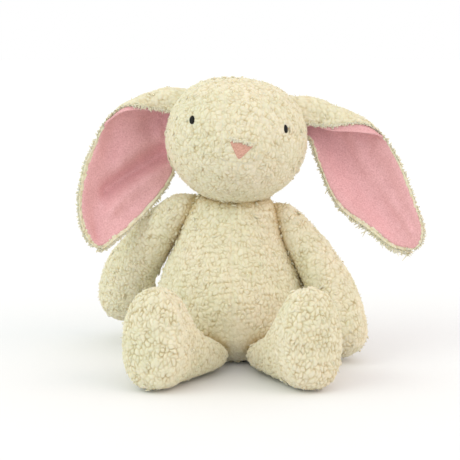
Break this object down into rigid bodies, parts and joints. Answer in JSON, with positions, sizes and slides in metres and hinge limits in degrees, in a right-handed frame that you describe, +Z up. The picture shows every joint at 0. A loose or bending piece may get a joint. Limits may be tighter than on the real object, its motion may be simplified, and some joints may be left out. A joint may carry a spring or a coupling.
{
  "type": "stuffed bunny rabbit",
  "caption": "Seated stuffed bunny rabbit in cream curly pile, with long drooping lined ears and soft arms and legs that swing on sewn joints.",
  "frame": {"origin": "middle of the flat seat, on the surface the rabbit sits on", "axes": "+Z up, the rabbit faces -Y, its own left side is +X"},
  "size_m": [0.285, 0.2176, 0.2299],
  "materials": {
    "pile": "cream curly pile fabric",
    "lining": "short smooth pink plush",
    "nose": "salmon pink stitched nose",
    "eye": "black satin stitch",
    "stuffing": "white polyester fibre",
    "pouch": "plain woven bag of plastic beans"
  },
  "bodies": {
    "torso": {"torso_front_left": "pile", "torso_front_right": "pile", "torso_back_left": "pile", "torso_back_right": "pile", "torso_filling": "stuffing", "seat_panel": "pile", "seat_bean_pouch": "pouch", "tail_cover": "pile", "tail_filling": "stuffing"},
    "neck": {"neck_filling": "stuffing"},
    "head": {"head_gusset": "pile", "head_side_left": "pile", "head_side_right": "pile", "head_filling": "stuffing", "nose": "nose", "eye_left": "eye", "eye_right": "eye"},
    "ear_left": {"ear_left_outer": "pile", "ear_left_lining": "lining"},
    "ear_right": {"ear_right_outer": "pile", "ear_right_lining": "lining"},
    "arm_left": {"arm_left_front": "pile", "arm_left_back": "pile", "arm_left_filling": "stuffing"},
    "arm_right": {"arm_right_front": "pile", "arm_right_back": "pile", "arm_right_filling": "stuffing"},
    "leg_left": {"leg_left_inner": "pile", "leg_left_outer": "pile", "foot_left_sole": "pile", "leg_left_filling": "stuffing"},
    "leg_right": {"leg_right_inner": "pile", "leg_right_outer": "pile", "foot_right_sole": "pile", "leg_right_filling": "stuffing"}
  },
  "joints": [
    {"name": "neck_turn", "type": "hinge", "parent": "torso", "child": "neck", "pos_m": [0, 0.003, 0.125], "axis": [0, 0, 1], "range_deg": [-10, 20], "stiffness_Nm_per_rad": 0.2},
    {"name": "head_nod", "type": "hinge", "parent": "neck", "child": "head", "pos_m": [0, 0.003, 0.125], "axis": [1, 0, 0], "range_deg": [-12, 12], "stiffness_Nm_per_rad": 1},
    {"name": "ear_left_flop", "type": "hinge", "parent": "head", "child": "ear_left", "pos_m": [0.051, 0.002, 0.22], "axis": [0, 1, 0], "range_deg": [-75, 0], "stiffness_Nm_per_rad": 0.05},
    {"name": "ear_right_flop", "type": "hinge", "parent": "head", "child": "ear_right", "pos_m": [-0.035, 0.002, 0.224], "axis": [0, -1, 0], "range_deg": [-75, 0], "stiffness_Nm_per_rad": 0.05},
    {"name": "arm_left_swing", "type": "hinge", "parent": "torso", "child": "arm_left", "pos_m": [0.0465, 0, 0.1165], "axis": [0.9848, 0, -0.1736], "range_deg": [-65, 25], "stiffness_Nm_per_rad": 0.05},
    {"name": "arm_right_swing", "type": "hinge", "parent": "torso", "child": "arm_right", "pos_m": [-0.0465, 0.003, 0.119], "axis": [0.9903, 0, -0.1392], "range_deg": [-90, 15], "stiffness_Nm_per_rad": 0.05},
    {"name": "leg_left_swing", "type": "hinge", "parent": "torso", "child": "leg_left", "pos_m": [0.031, -0.05, 0.0245], "axis": [-1, 0, 0], "range_deg": [-80, 30], "stiffness_Nm_per_rad": 0.05},
    {"name": "leg_right_swing", "type": "hinge", "parent": "torso", "child": "leg_right", "pos_m": [-0.031, -0.05, 0.0245], "axis": [-1, 0, 0], "range_deg": [-80, 30], "stiffness_Nm_per_rad": 0.05}
  ]
}
